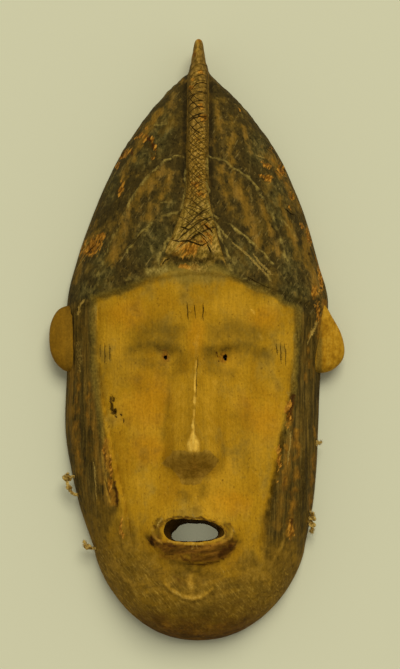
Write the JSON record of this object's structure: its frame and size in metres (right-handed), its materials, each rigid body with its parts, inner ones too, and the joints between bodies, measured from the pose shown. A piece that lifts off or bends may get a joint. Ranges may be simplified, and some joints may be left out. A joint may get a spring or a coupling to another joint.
{
  "type": "carved wooden face mask",
  "caption": "Tall hollow wooden face mask with a pointed hood, raised crest, long nose, open mouth and side ears, lying face up on its back rim.",
  "frame": {"origin": "on the ground under the middle of the mask, which lies face up on its flat back rim", "axes": "+Y from the chin to the crown, +Z out of the face, +X towards the face's left ear, on the viewer's right"},
  "size_m": [0.213, 0.436, 0.1005],
  "materials": {
    "carved_wood": "matt ochre and dark brown earth pigment on hand-carved wood, rubbed and worn",
    "plant_fibre": "dry twisted plant fibre, frayed"
  },
  "bodies": {
    "root": {"mask_body": "carved_wood", "cord_remnant_left_upper": "plant_fibre", "cord_remnant_left_lower": "plant_fibre", "cord_remnant_right_upper": "plant_fibre", "cord_remnant_right_lower": "plant_fibre"}
  },
  "joints": []
}
